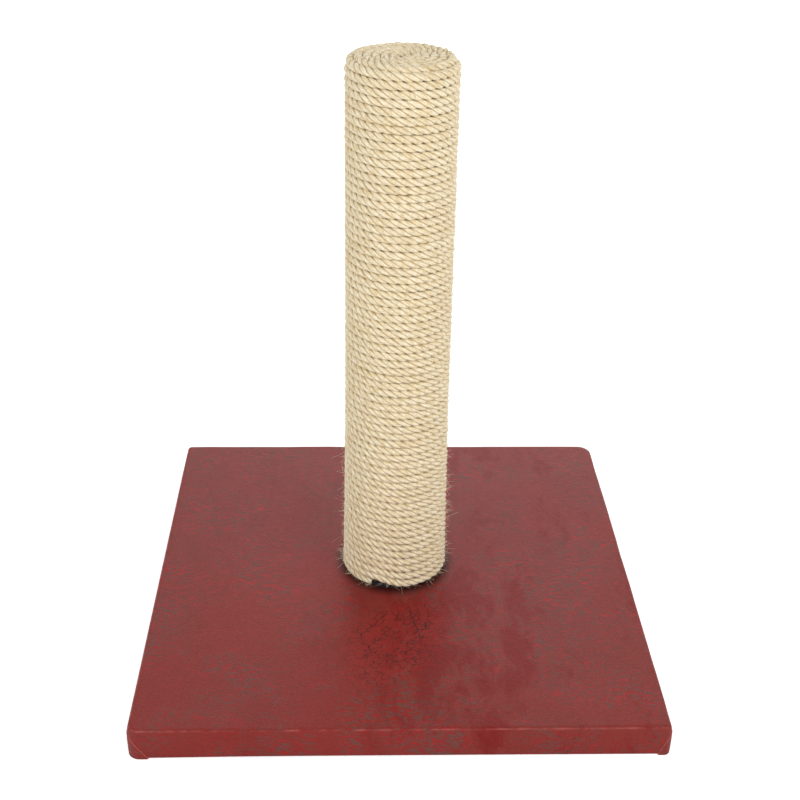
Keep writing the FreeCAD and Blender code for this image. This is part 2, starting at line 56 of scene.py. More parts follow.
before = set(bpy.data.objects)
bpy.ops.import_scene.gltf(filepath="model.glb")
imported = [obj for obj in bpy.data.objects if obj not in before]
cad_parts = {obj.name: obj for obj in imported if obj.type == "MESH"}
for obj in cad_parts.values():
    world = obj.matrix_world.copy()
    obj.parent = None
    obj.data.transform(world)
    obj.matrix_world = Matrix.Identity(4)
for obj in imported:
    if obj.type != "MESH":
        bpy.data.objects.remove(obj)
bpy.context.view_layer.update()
COVER_LOW, COVER_HIGH = (np.array(corner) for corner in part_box("base_cover"))
LINER_LOW, LINER_HIGH = (np.array(corner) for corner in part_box("base_liner"))
TUBE_LOW, TUBE_HIGH = (np.array(corner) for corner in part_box("core_tube"))
CAP_HIGH = np.array(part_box("post_top_cap")[1])
POST_AXIS = (TUBE_LOW + TUBE_HIGH)[:2] / 2
TUBE_RADIUS = (TUBE_HIGH[0] - TUBE_LOW[0]) / 2


def linear(hex_colour):
    """Linear red, green, blue and alpha of an sRGB colour written as six hex digits."""
    parts = np.array([int(hex_colour[i : i + 2], 16) / 255 for i in (0, 2, 4)])
    parts = np.where(parts <= 0.04045, parts / 12.92, ((parts + 0.055) / 1.055) ** 2.4)
    return (*map(float, parts), 1.0)


def length(name, default_mm, description, lowest_mm=0.0):
    """A length property whose default is given in millimetres."""
    default, lowest = default_mm * MM, lowest_mm * MM
    return FloatProperty(
        name=name, description=description, default=default, min=lowest, subtype="DISTANCE", unit="LENGTH"
    )


def angle(name, default_degrees, description):
    """An angle property whose default is given in degrees."""
    default = math.radians(default_degrees)
    return FloatProperty(name=name, description=description, default=default, subtype="ANGLE", unit="ROTATION")


def power(name, watts, description):
    """A power property."""
    return FloatProperty(name=name, description=description, default=watts, min=0, unit="POWER")


def colour(name, hex_colour, description):
    """A colour property whose default is an sRGB hex value."""
    return FloatVectorProperty(
        name=name, description=description, default=linear(hex_colour), size=4, min=0, max=1, subtype="COLOR"
    )


# -------------------------------------------- settings


class RopeSettings(bpy.types.PropertyGroup):
    """Sizes and colours of the wound rope."""

    diameter: length("Diameter", 6.7, "Rope across its strands", 1)
    clearance: length("Clearance", 0.1, "Between the rope and the core tube")
    sink: length("Sink at the foot", 2.9, "How far the lowest turn is pressed down over the foot's rim")
    slack: length("Slack at the foot", 2.6, "How far the lowest turns stand off the tube")
    foot_pitch: length("Foot pitch", 6.6, "Rise in one turn at the foot of the post", 3)
    top_pitch: length("Top pitch", 6.2, "Rise in one turn at the top of the post", 3)
    lay: length("Lay length", 21, "Rope's length in which a strand goes round once", 5)
    rim_bend: length("Rim bend", 1.2, "Radius of the top rim under the rope")
    centre_radius: length("Centre radius", 3.2, "Where the rope ends in the middle of the top")
    section_step: length("Step", 1.15, "Distance between the mesh's sections along the rope", 0.5)
    section_points: IntProperty(name="Section points", description="Points round the rope", default=24, min=12)
    whiskers: IntProperty(name="Loose fibres", description="Fibres that stand out from the rope", default=5000, min=0)
    whisker_length: length("Fibre length", 4.4, "Usual length of a loose fibre")
    light: colour("Light fibre", "FBF1D8", "Bleached sisal on the strands' crowns")
    middle: colour("Middle fibre", "F1E2BC", "Sisal's body colour")
    # Dark fibre, which is also the painted shade multiplied into the grooves between strands.
    dark: colour("Dark fibre", "B8965C", "Sisal in the grooves between strands")


class CoverSettings(bpy.types.PropertyGroup):
    """Sizes and colours of the base's leatherette cover and felt."""

    front_left: length("Front left corner", 8.6, "Plan radius")
    front_right: length("Front right corner", 4.6, "Plan radius")
    back_right: length("Back right corner", 12.6, "Plan radius")
    back_left: length("Back left corner", 4.1, "Plan radius")
    edge_round: length("Edge rounding", 2.6, "Rounding of the top edge", 0.5)
    hem: length("Hem", 45, "Cover turned under the board")
    fold_left: length("Left fold", 15, "Foot of the lapped fold at the left corners")
    fold_right: length("Right fold", 9, "Foot of the lapped fold at the right corners")
    fold_height: length("Fold height", 22, "Height of the lapped folds")
    fold_thickness: length("Fold thickness", 0.8, "How far a fold stands off the cover")
    red: colour("Red", "802722", "Dyed body of the leatherette")
    bright_red: colour("Bright red", "991C1D", "Burnished strokes")
    deep_red: colour("Deep red", "74100F", "Soft brushed blotches, more on the right half")
    crease_grey: colour("Crease grey", "63403B", "Wax in the creases")
    crackle: colour("Crackle", "3A1512", "Cracks by the foot of the post")
    # Painted highlight along the top edge and on the folds' lips.
    edge_highlight: colour("Worn edge", "B2605A", "Rubbed skin along the top edge")
    felt: colour("Felt", "2A2A2C", "Felt under the base")


class StageSettings(bpy.types.PropertyGroup):
    """Camera and light."""

    camera_distance: length("Camera distance", 903, "Camera in front of the base's middle")
    camera_height: length("Camera height", 694, "Camera above the floor")
    camera_side: length("Camera side", -32, "Camera to the right of the base's middle", -1000)
    camera_pitch: angle("Pitch", 29.15, "Camera looks down")
    camera_yaw: angle("Yaw", 2.16, "Camera looks to the right")
    camera_roll: angle("Roll", 1.09, "Camera leans to the left")
    lens: FloatProperty(name="Lens", description="Focal length, 36 mm sensor", default=58.05, min=10, unit="CAMERA")
    sky: FloatProperty(name="Sky", description="Strength of the even white light", default=0.68, min=0)
    key: power("Key", 13, "Light from the front right")
    fill: power("Fill", 8, "Light from the front left")
    back: power("Back light", 11, "Light from behind")
    backdrop: FloatProperty(name="Backdrop", description="How far the floor glows for the camera", default=0.45, min=0)
    floor: colour("Floor", "FBFBFB", "Floor and backdrop")


# -------------------------------------------- arrays and meshes


def drift(along, wavelength, seed):
    """Smooth random wander from about -1 to 1: random heights at even knots, joined by cosine steps."""
    knots = np.random.default_rng(seed).uniform(-1, 1, int(np.max(along) / wavelength) + 3)
    place = np.asarray(along) / wavelength
    whole = np.floor(place).astype(int)
    step = (1 - np.cos(math.pi * (place - whole))) / 2
    return knots[whole] * (1 - step) + knots[whole + 1] * step


def unit(vectors):
    """The vectors at length 1."""
    return vectors / np.linalg.norm(vectors, axis=-1, keepdims=True)


def grid_corners(rows, columns, closed):
    """Row and column number at each corner of a grid's quads, where a closed grid's columns count on past the last."""
    quads = np.moveaxis(np.indices((rows - 1, columns if closed else columns - 1)), 0, -1)
    return quads.reshape(-1, 1, 2) + [(0, 0), (0, 1), (1, 1), (1, 0)]


def grid_faces(rows, columns, closed):
    """Quads of a grid of points stored row by row; a closed grid joins its last column to its first."""
    corners = grid_corners(rows, columns, closed)
    return corners[..., 0] * columns + corners[..., 1] % columns


def make_mesh(name, points, faces, uv=None, shade=None):
    """A smooth object of quads at the origin, with an optional UV map and one optional number for each point.

    The number is kept as the attribute depth: the rope's groove, or the weight of the painted highlight along the
    cover's edges.
    """
    mesh = bpy.data.meshes.new(name)
    points = points.reshape(-1, 3)
    mesh.vertices.add(len(points))
    mesh.vertices.foreach_set("co", points.astype(np.float32).ravel())
    mesh.loops.add(faces.size)
    mesh.loops.foreach_set("vertex_index", faces.astype(np.int32).ravel())
    mesh.polygons.add(len(faces))
    mesh.polygons.foreach_set("loop_start", np.arange(0, faces.size, faces.shape[1], dtype=np.int32))
    mesh.polygons.foreach_set("use_smooth", np.ones(len(faces), dtype=bool))
    if uv is not None:
        mesh.uv_layers.new(name="along").data.foreach_set("uv", uv.astype(np.float32).ravel())
    if shade is not None:
        mesh.attributes.new("depth", "FLOAT", "POINT").data.foreach_set("value", shade.astype(np.float32).ravel())
    mesh.update(calc_edges=True)
    mesh.validate()
    piece = bpy.data.objects.new(name, mesh)
    bpy.context.scene.collection.objects.link(piece)
    return piece


def dress(piece, material, slot, *nodes):
    """Gives a piece its finish, sets it on the part's one body and hides the CAD nodes that it replaces."""
    piece.data.materials.clear()
    piece.data.materials.append(material)
    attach(piece, "root")
    if nodes:
        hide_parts(*nodes)
    return piece


# -------------------------------------------- rope


def rope_route(rope):
    """Middle line of the rope, its tangent and the outward normal of what it lies on, at even steps.

    The line is a helix, whose height is a square function of the turn, so that its pitch falls slowly. Past the tube's
    end it bends round the top rim on a quarter circle and runs in to the middle on a spiral of even pitch, and it turns
    clockwise, seen from above. Each of the first turns lies level and then steps up over the one below, by the smooth
    step r^2 (3 - 2 r), and the steps die out up the post, as the slack does. Its radius and height wander a little.
    """
    start = math.radians(242)  # the rope's lower end, round the post from its right side
    level_share = 0.89  # of a turn, before it steps up
    step_turns, slack_turns = 6, 14  # turns in which the steps and the slack fall to about a third
    lift = rope.clearance + rope.diameter / 2
    side_radius = TUBE_RADIUS + lift
    foot = TUBE_LOW[2] + lift - rope.sink
    bend = rope.rim_bend + lift
    bend_z = CAP_HIGH[2] - rope.rim_bend
    pitch = (rope.foot_pitch + rope.top_pitch) / 2
    side_turns = (bend_z - foot) / pitch
    quarter = bend * math.pi / 2
    flat_run = side_radius - bend - rope.centre_radius
    turns = side_turns + (quarter + flat_run) / rope.top_pitch

    turn = np.linspace(0, turns, int(turns * 2 * math.pi * side_radius / rope.section_step))
    share = turn / side_turns
    slope = rope.foot_pitch / pitch
    rise = (bend_z - foot) * (slope * share + (1 - slope) * share**2)
    rest = turn % 1
    ramp = np.clip((rest - level_share) / (1 - level_share), 0, 1)
    rise += pitch * (ramp**2 * (3 - 2 * ramp) - rest) * np.exp(-turn / step_turns)
    run = np.maximum((turn - side_turns) * rope.top_pitch, 0)
    bent = np.minimum(run, quarter) / bend
    inward = np.maximum(run - quarter, 0)
    radius = side_radius - bend * (1 - np.cos(bent)) - inward + rope.slack * np.exp(-turn / slack_turns)
    height = np.where(turn < side_turns, foot + np.maximum(rise, 0), bend_z + bend * np.sin(bent))

    direction = start - 2 * math.pi * turn
    outward = np.stack([np.cos(direction), np.sin(direction), np.zeros_like(turn)], axis=-1)
    up = np.array([0.0, 0.0, 1.0])
    wander = 2 * math.pi * side_radius * turn
    radius = radius + 0.10 * MM * drift(wander, 60 * MM, 1)
    height = height + 0.16 * MM * drift(wander, 45 * MM, 2)
    middle = outward * radius[:, None] + up * height[:, None]
    middle[:, :2] += POST_AXIS
    normal = outward * np.cos(bent)[:, None] + up * np.sin(bent)[:, None]
    step = np.linalg.norm(np.diff(middle, axis=0), axis=1)
    along = np.concatenate([[0], np.cumsum(step)])
    even = np.linspace(0, along[-1], int(along[-1] / rope.section_step))
    middle, normal = (
        np.stack([np.interp(even, along, column) for column in line.T], axis=-1) for line in (middle, normal)
    )
    tangent = unit(np.gradient(middle, axis=0))
    normal = unit(normal - tangent * np.sum(normal * tangent, axis=1, keepdims=True))
    return even, middle, tangent, normal


def rope_surface(rope):
    """Points of the laid rope, one row of points for each section.

    A section is the outline of three round strands pressed together: with the angle a from the nearest strand's
    middle, its radius is c cos a + sqrt(s^2 - (c sin a)^2). The sections turn as they go along, once in a lay length,
    to the right, and the points turn with them, so each groove is an unbroken row of edges.
    """
    along, middle, tangent, normal = rope_route(rope)
    side = np.cross(tangent, normal)
    places = np.arange(rope.section_points) * 2 * math.pi / rope.section_points
    from_strand = (places + math.pi / 3) % (2 * math.pi / 3) - math.pi / 3
    strand, centre = 0.59, 0.41  # a strand's radius s and its middle's place c, as shares of the rope's radius
    taper = 9 * MM  # length in which each end narrows
    outline = centre * np.cos(from_strand) + np.sqrt(strand**2 - (centre * np.sin(from_strand)) ** 2)
    strand_number = ((places + math.pi / 3) // (2 * math.pi / 3)).astype(int) % 3
    swell = np.stack([0.05 * drift(along, 17 * MM, 10 + number) for number in range(3)], axis=-1)
    fine = np.stack([0.06 * drift(along, 3.2 * MM, 20 + number) for number in range(rope.section_points)], axis=-1)
    radius = rope.diameter / 2 * outline * (1 + swell[:, strand_number] + fine)
    from_ends = np.stack([along, along[-1] - along]) / taper + 1 / 3
    radius *= np.sqrt(np.clip(from_ends, 0, 1).prod(axis=0))[:, None]
    turn = 2 * math.pi * (along / rope.lay + 0.12 * drift(along, 130 * MM, 5))
    around = places + turn[:, None]
    points = (
        middle[:, None]
        + normal[:, None] * (radius * np.cos(around))[..., None]
        + side[:, None] * (radius * np.sin(around))[..., None]
    )
    depth = np.broadcast_to((outline - outline.min()) / np.ptp(outline), radius.shape)
    return along, points, depth, (middle, tangent, normal, side)


def wind_rope(rope):
    """The rope's pieces: runs of the one long tube, which share their end sections."""
    along, points, depth, lines = rope_surface(rope)
    material = sisal_rope(rope)
    columns = rope.section_points
    cell = np.array([rope.section_step, math.pi * rope.diameter / columns])  # along the rope and round it
    most_rows = MOST_TRIANGLES // (2 * columns)
    pieces = max(1, math.ceil(len(along) / most_rows))
    breaks = np.linspace(0, len(along) - 1, pieces + 1).astype(int)
    for number, (first, last) in enumerate(zip(breaks, breaks[1:]), start=1):
        rows = last - first + 1
        uv = (grid_corners(rows, columns, True) + [first, 0]) * cell
        run, faces = slice(first, last + 1), grid_faces(rows, columns, True)
        piece = make_mesh(f"wound_rope_{number}", points[run], faces, uv, depth[run])
        dress(piece, material, "sisal_rope", "post_rope")
    return lines


def fray_rope(rope, lines):
    """Loose fibres: thin three-sided hairs that leave the rope along its run and curl away from the post.

    Each hair is a parabola: root + reach (q run + 0.6 q^2 curl), with q from 0 to 1 along it. Most are low down.
    """
    middle, tangent, normal, side = lines
    dice = np.random.default_rng(7)
    count, joints, sides = rope.whiskers, 6, 3
    place = dice.beta(0.8, 1.6, count)
    at = (place * (len(middle) - 1)).astype(int)
    around = dice.uniform(-1.2, 1.2, count)[:, None]
    away = normal[at] * np.cos(around) + side[at] * np.sin(around)
    rooted = 0.4 * MM
    root = middle[at] + away * (rope.diameter / 2 - rooted)
    reach = rope.whisker_length * dice.gamma(3.2, 0.31, count)[:, None]
    forward = tangent[at] * dice.choice([-1, 1], count)[:, None]
    run = unit(forward * dice.uniform(0.2, 1, (count, 1)) + away * dice.uniform(0.25, 1.1, (count, 1)))
    curl = away * dice.uniform(-0.25, 0.6, (count, 1)) + dice.normal(0, 0.35, (count, 3))
    q = np.linspace(0, 1, joints)[None, :, None]
    line = root[:, None] + reach[:, None] * (run[:, None] * q + curl[:, None] * q**2 * 0.6)
    heading = unit(np.gradient(line, axis=1))
    first = unit(np.cross(heading, dice.normal(0, 1, (count, 1, 3)) + 0.01))
    second = np.cross(heading, first)
    thickness = dice.uniform(0.05, 0.11, (count, 1, 1)) * MM * (1.05 - q**2 * 0.75)  # the hair's radius
    corner = np.arange(sides) * 2 * math.pi / sides
    ring = first[:, :, None] * np.cos(corner)[:, None] + second[:, :, None] * np.sin(corner)[:, None]
    points = line[:, :, None] + ring * thickness[..., None]
    one = grid_faces(joints, sides, True)
    faces = (one[None] + (np.arange(count) * joints * sides)[:, None, None]).reshape(-1, 4)
    piece = make_mesh("rope_fibres", points, faces)
    return dress(piece, loose_sisal_fibre(rope), "sisal_rope")


# -------------------------------------------- cover and felt


def rounded_outline(half_x, half_y, radii, straight, bend):
    """Points and outward normals round a rectangle with its own radius at each corner, from the front left on.

    Each corner is a quarter circle of `bend` steps and each side has `straight` steps, closer near its ends.
    """
    quarter = np.linspace(0, math.pi / 2, bend)
    points, normals = [], []
    starts = np.array([1, 1.5, 0, 0.5]) * math.pi
    for (x_side, y_side), start, radius in zip(CORNERS, starts, radii):
        normal = np.stack([np.cos(start + quarter), np.sin(start + quarter)], axis=-1)
        centre = np.array([x_side * (half_x - radius), y_side * (half_y - radius)])
        points.append(centre + radius * normal)
        normals.append(normal)
    share = np.linspace(0, 1, straight + 2)[1:-1, None]
    share = 0.55 * share + 0.45 * (1 - np.cos(math.pi * share)) / 2
    all_points, all_normals = [], []
    for here, following, normal in zip(points, points[1:] + points[:1], normals):
        all_points += [here, here[-1] + (following[0] - here[-1]) * share]
        all_normals += [normal, np.repeat(normal[-1:], straight, axis=0)]
    return np.concatenate(all_points), np.concatenate(all_normals)


def stretch_cover(cover):
    """The leatherette in one piece: from the bolt hole over the top, round the edge, down and under to the hem's end.

    The top is straight lines from the hole's circle to the outline. Past that a profile goes round the outline: a
    quarter circle over the edge, a side that bulges a little, a small round at the foot and a flat hem.
    """
    bolt_hole, foot_round = 4.5 * MM, 1.2 * MM  # radii
    waviness, bulge = 0.22 * MM, 0.3 * MM
    half = (COVER_HIGH - COVER_LOW)[:2] / 2
    half[1] -= cover.fold_thickness
    rounding, top, hem_z = cover.edge_round, COVER_HIGH[2], COVER_LOW[2]
    radii = [getattr(cover, corner) for corner in CORNERS.values()]
    outline, normal = rounded_outline(*half, radii, straight=118, bend=34)
    count = len(outline)
    around = np.concatenate([[0], np.cumsum(np.linalg.norm(np.diff(outline, axis=0), axis=1))])
    closing = 0.5 - 0.5 * np.cos(2 * math.pi * around / around[-1])
    wave = drift(around, 23 * MM, 31) * closing
    slack = drift(around, 60 * MM, 32) * closing
    # The lower edge hangs 0.15 mm over the floor at the corners and rises away from them, more on the left.
    from_corner = np.maximum(half[0] - np.abs(outline[:, 0]), half[1] - np.abs(outline[:, 1]))
    lifted = 1 - np.exp(-((from_corner / (70 * MM)) ** 2))
    foot = 0.15 * MM + lifted * 0.6 * MM * (1 - 0.7 * outline[:, 0] / half[0])

    hole = POST_AXIS + bolt_hole * unit(outline - POST_AXIS)
    inset = outline - normal * rounding
    rings = np.linspace(0, 1, 88)
    plan = hole + (inset - hole) * rings[:, None, None]
    swell = waviness * np.clip((rings - 0.55) / 0.45, 0, 1)[:, None] * (slack * 0.6 + 0.2)
    rows = [np.concatenate([plan, np.full((len(rings), count, 1), top) + swell[..., None]], axis=-1)]

    bend = np.linspace(0, math.pi / 2, 9)[1:]
    edge_out = rounding * (np.sin(bend) - 1)
    edge_down = rounding * (1 - np.cos(bend))
    wavy = waviness * wave * np.sin(2 * np.minimum(bend, math.pi / 4))[:, None]
    drop = np.linspace(0, 1, 13)[1:]
    side_z = (top - rounding) - drop[:, None] * ((top - rounding) - (foot + foot_round))
    belly = bulge * np.sin(math.pi * drop)[:, None] * (0.6 + 0.5 * slack)
    under = np.linspace(0, math.pi / 2, 5)[1:]
    foot_out = foot_round * (np.cos(under) - 1)
    foot_down = foot_round * np.sin(under)
    hem_out = -np.linspace(foot_round, cover.hem, 8)[1:]
    flat_hem = np.clip(-hem_out / (14 * MM), 0, 1)[:, None]
    profile = [
        (edge_out[:, None] + wavy, top - edge_down[:, None] + wavy),
        (belly, side_z),
        (foot_out[:, None], foot + foot_round - foot_down[:, None]),
        (hem_out[:, None], foot * (1 - flat_hem) + hem_z * flat_hem),
    ]
    for offset, height in profile:
        rows.append(np.concatenate([outline + normal * offset[..., None], height[..., None]], axis=-1))
    points = np.concatenate(rows)
    past_edge = np.arange(len(points))[:, None] - len(rings)
    # Painted highlight along the top edge, its strength wandering along the outline.
    highlight_weight = 0.5 + 0.3 * drift(around, 8 * MM, 33) + 0.3 * drift(around, 2.5 * MM, 34)
    edge_highlight = np.exp(-(((past_edge - 2.2) / 1.7) ** 2)) * highlight_weight
    centre = (COVER_LOW + COVER_HIGH)[:2] / 2
    points[..., :2] += centre
    faces = grid_faces(len(points), count, True)[:, ::-1]
    piece = make_mesh("leatherette_cover", points, faces, shade=edge_highlight)
    dress(piece, leatherette(cover), "burgundy_leatherette", "base_cover")
    folds = [lap_fold(cover, half, centre, x_side, y_side, piece) for x_side in (-1, 1) for y_side in (-1, 1)]
    return piece


def lap_fold(cover, half, centre, x_side, y_side, cover_piece):
    """One corner's lapped fold: the side's leatherette brought round the corner, ending in a slanting lip.

    Its grid runs from the lip, round the corner and on to the side, and from the foot up. It stands off the cover by
    the fold's thickness at the lip and sinks into it on the side and at its upper tip.
    """
    corner = CORNERS[x_side, y_side]
    radius = getattr(cover, corner)
    width = cover.fold_left if x_side < 0 else cover.fold_right
    rows, columns = 26, 72
    rounded_lip, faded = 0.9 * MM, 9 * MM  # lengths in which the fold reaches its thickness and sinks away again
    up, across = np.meshgrid(np.linspace(0, 1, rows), np.linspace(0, 1, columns), indexing="ij")
    lip = width * (1 - up) - radius + 0.5 * MM * np.sin(5 * up)
    far = -(radius * math.pi / 2 + 11 * MM)
    run = lip + (far - lip) * across**1.6
    in_bend = np.clip(-run, 0, radius * math.pi / 2)
    turned = in_bend / radius
    beyond = np.maximum(-run - radius * math.pi / 2, 0)
    before = np.maximum(run, 0)
    normal_x, normal_y = np.sin(turned), np.cos(turned)
    x = half[0] - radius + radius * normal_x - before
    y = half[1] - radius + radius * normal_y - beyond
    from_lip = lip - run
    # It also bulges a little at half height, its lip's very edge turns in and its far end dips under the cover.
    stand = cover.fold_thickness * np.sqrt(np.clip(from_lip / rounded_lip, 0, 1))
    stand *= np.clip((run - far) / faded, 0, 1) ** 1.5
    stand *= np.clip((1 - up) / 0.12, 0, 1) ** 0.7
    stand = stand * 0.85 + 0.24 * MM * np.sin(math.pi * (0.1 + 0.8 * up))
    stand -= 0.16 * MM * (1 - np.clip(from_lip / (0.3 * MM), 0, 1))
    stand -= 0.5 * MM * (1 - np.clip((run - far) / (2.5 * MM), 0, 1))
    z = 0.1 * MM + up * cover.fold_height
    x = centre[0] + x_side * (x + normal_x * stand)
    y = centre[1] + y_side * (y + normal_y * stand)
    points = np.stack([x, y, z], axis=-1)
    faces = grid_faces(rows, columns, False)
    if x_side * y_side < 0:
        faces = faces[:, ::-1]
    # Painted highlight along the fold's lip.
    highlight_weight = 0.9 * np.exp(-((from_lip / rounded_lip) ** 2))
    piece = make_mesh(f"fold_{corner}", points, faces, shade=highlight_weight)
    return dress(piece, cover_piece.data.materials[0], "burgundy_leatherette")


def lay_liner(cover):
    """The felt: straight lines from the spanner's hole to its outline, with its edges turned up at both."""
    spanner_hole, corner = 19 * MM, 10 * MM  # radii
    half = (LINER_HIGH - LINER_LOW)[:2] / 2
    outline, _ = rounded_outline(*half, [corner] * 4, straight=60, bend=10)
    hole = POST_AXIS + spanner_hole * unit(outline - POST_AXIS)
    flat = hole + (outline - hole) * np.linspace(0, 1, 40)[:, None, None]
    plan = np.concatenate([[hole, hole], flat, [outline, outline]])
    height = np.concatenate([[2.4, 1.2], np.zeros(len(flat)), [0.35, 0.8]]) * MM
    points = np.concatenate([plan, np.broadcast_to(height[:, None, None], (*plan.shape[:2], 1))], axis=-1)
    piece = make_mesh("base_felt", points, grid_faces(len(points), len(outline), True))
    dress(piece, needled_felt(cover), "black_felt", "base_liner")
    return piece


# -------------------------------------------- materials


def add_node(tree, kind, inputs=None, stops=(), **settings):
    """Adds a node with its settings and links.

    An input is known by its name or number, and gets a value, a socket, or a node whose first live output feeds it.
    Stops are the places and colours of a colour ramp, in rising order.
    """
    node = tree.nodes.new("ShaderNode" + kind)
    for name, value in settings.items():
        setattr(node, name, value)
    for key, value in (inputs or {}).items():
        if isinstance(value, bpy.types.Node):
            value = next(socket for socket in value.outputs if socket.enabled)
        if isinstance(value, bpy.types.NodeSocket):
            tree.links.new(value, node.inputs[key])
        else:
            node.inputs[key].default_value = value
    for number, (place, tint) in enumerate(stops):
        elements = node.color_ramp.elements
        element = elements[number] if number < 2 else elements.new(place)
        element.position, element.color = place, tint
    return node


def new_material(name):
    """A material with no nodes but its object coordinates, these coordinates, and add_node for its tree."""
    material = bpy.data.materials.new(name)
    material.use_nodes = True
    material.node_tree.nodes.clear()
    add = partial(add_node, material.node_tree)
    return material, add("TexCoord").outputs["Object"], add


def leatherette(cover):
    """Distressed oil-waxed leatherette: a polyurethane skin on fleece, dyed wine red and waxed.

    The eye sees short grey creases that flow in bundles, burnished red strokes between them, soft dark brushed
    blotches, and fine black crackle where the skin was crushed near the foot of the post.
    """
    material, place, add = new_material("distressed_oil_waxed_leatherette")
    warp = add("TexNoise", {"Vector": place, "Scale": 14.0, "Detail": 2.0}).outputs["Color"]
    bent = add("VectorMath", {0: warp, 1: (0.5, 0.5, 0.5)}, operation="SUBTRACT")
    bent = add("VectorMath", {0: bent, "Scale": 0.05}, operation="SCALE")
    flow = add("VectorMath", {0: place, 1: bent}, operation="ADD")

    # Strokes 1.3 mm apart and about 8 mm long, in three directions that take over from each other across the base.
    runs = []
    for turn, scale in ((-0.3, 1.0), (0.4, 1.1), (0.95, 0.9)):
        sizes = (125 * scale, 760 * scale, 760 * scale)
        lines = add("Mapping", {"Vector": flow, "Rotation": (0, 0, turn), "Scale": sizes})
        grain = {"Vector": lines, "Scale": 1.0, "Detail": 5.0, "Roughness": 0.64, "Distortion": 0.6}
        runs.append(add("TexNoise", grain))
    first = add("TexNoise", {"Vector": place, "Scale": 8.0, "Detail": 1.0, "Roughness": 0.55})
    first = add("MapRange", {"Value": first, "From Min": 0.44, "From Max": 0.56}, **SMOOTH)
    turned = add("Mapping", {"Vector": place, "Rotation": (0, 0, 1.3)})
    second = add("TexNoise", {"Vector": turned, "Scale": 7.0, "Detail": 1.0, "Roughness": 0.55})
    second = add("MapRange", {"Value": second, "From Min": 0.52, "From Max": 0.62}, **SMOOTH)
    crease = add("Mix", {"Factor": first, "A": runs[0], "B": runs[1]})
    crease = add("Mix", {"Factor": second, "A": crease, "B": runs[2]})
    bundles = add("TexNoise", {"Vector": flow, "Scale": 20.0, "Detail": 3.0, "Roughness": 0.6})
    rise = {"Value": bundles, "From Min": 0.4, "From Max": 0.62, "To Min": 0.14, "To Max": 0.95}
    bundles = add("MapRange", rise, **SMOOTH)
    waxed = add("MapRange", {"Value": crease, "From Min": 0.49, "From Max": 0.58}, **SMOOTH)
    waxed = add("Math", {0: waxed, 1: bundles}, operation="MULTIPLY")
    stroked = add("MapRange", {"Value": crease, "From Min": 0.49, "From Max": 0.4}, **SMOOTH)
    stroked = add("Math", {0: stroked, 1: bundles}, operation="MULTIPLY")

    # Clouds of dye 9 cm across, then brushed blotches 3 by 9 cm, most of them on the half that was handled.
    cloud = add("TexNoise", {"Vector": place, "Scale": 11.0, "Detail": 3.0, "Roughness": 0.6})
    cloud = add("MapRange", {"Value": cloud, "From Min": 0.35, "From Max": 0.68}, **SMOOTH)
    body = add("Mix", {"Factor": cloud, "A": cover.red, "B": linear("762B25")}, **TINTED)
    body = add("Mix", {"Factor": stroked, "A": body, "B": cover.bright_red}, **TINTED)
    body = add("Mix", {"Factor": waxed, "A": body, "B": cover.crease_grey}, **TINTED)
    brushed = add("Mapping", {"Vector": flow, "Rotation": (0, 0, 0.35), "Scale": (30, 11, 20)})
    blotch = add("TexNoise", {"Vector": brushed, "Scale": 1.0, "Detail": 8.0, "Roughness": 0.68})
    blotch = add("MapRange", {"Value": blotch, "From Min": 0.49, "From Max": 0.62, "To Max": 0.85}, **SMOOTH)
    across = add("SeparateXYZ", {"Vector": place}).outputs["X"]
    handled = {"Value": across, "From Min": -0.1, "From Max": 0.08, "To Min": 0.2, "To Max": 1.0}
    blotch = add("Math", {0: blotch, 1: add("MapRange", handled, **SMOOTH)}, operation="MULTIPLY")
    body = add("Mix", {"Factor": blotch, "A": body, "B": cover.deep_red}, **TINTED)

    # The crushed patch lies before the post's foot, about 8 by 12 cm, and fades out at its edge. Its cracks are the
    # edges of bent cells 5 to 9 mm across, and they show only in streaks.
    extent = {"Vector": place, "Location": (0.001, -0.098, 0), "Rotation": (0, 0, -0.5), "Scale": (0.039, 0.062, 1)}
    level = add("Mapping", extent, vector_type="TEXTURE")
    patch = add("VectorMath", {0: level}, operation="LENGTH").outputs["Value"]
    near = add("MapRange", {"Value": patch, "From Min": 1.15, "From Max": 0.6}, **SMOOTH)
    cracks = []
    for turn, sizes, streak in ((-0.25, (115, 165, 1), 0.45), (0.5, (190, 150, 1), 0.5)):
        cells = add("Mapping", {"Vector": flow, "Rotation": (0, 0, turn), "Scale": sizes})
        shaken = add("TexNoise", {"Vector": cells, "Scale": 1.3, "Detail": 3.0}).outputs["Color"]
        cells = add("VectorMath", {0: shaken, 1: (0.55, 0.55, 0), 2: cells}, operation="MULTIPLY_ADD")
        edge = {"Vector": cells, "Scale": 1.0}
        edge = add("TexVoronoi", edge, feature="DISTANCE_TO_EDGE", voronoi_dimensions="2D")
        edge = add("MapRange", {"Value": edge, "From Min": 0.09, "From Max": 0.02}, **SMOOTH)
        gate = add("TexNoise", {"Vector": cells, "Scale": 0.5, "Detail": 2.0, "Roughness": 0.6})
        gate = add("MapRange", {"Value": gate, "From Min": streak, "From Max": streak + 0.1}, **SMOOTH)
        cracks.append(add("Math", {0: edge, 1: gate}, operation="MULTIPLY"))
    cracked = add("Math", {0: cracks[0], 1: cracks[1]}, operation="MAXIMUM")
    cracked = add("Math", {0: cracked, 1: near}, operation="MULTIPLY")
    glow = add("Math", {0: near, 1: 0.3}, operation="MULTIPLY")
    body = add("Mix", {"Factor": glow, "A": body, "B": cover.bright_red}, **TINTED)
    body = add("Mix", {"Factor": cracked, "A": body, "B": cover.crackle}, **TINTED)
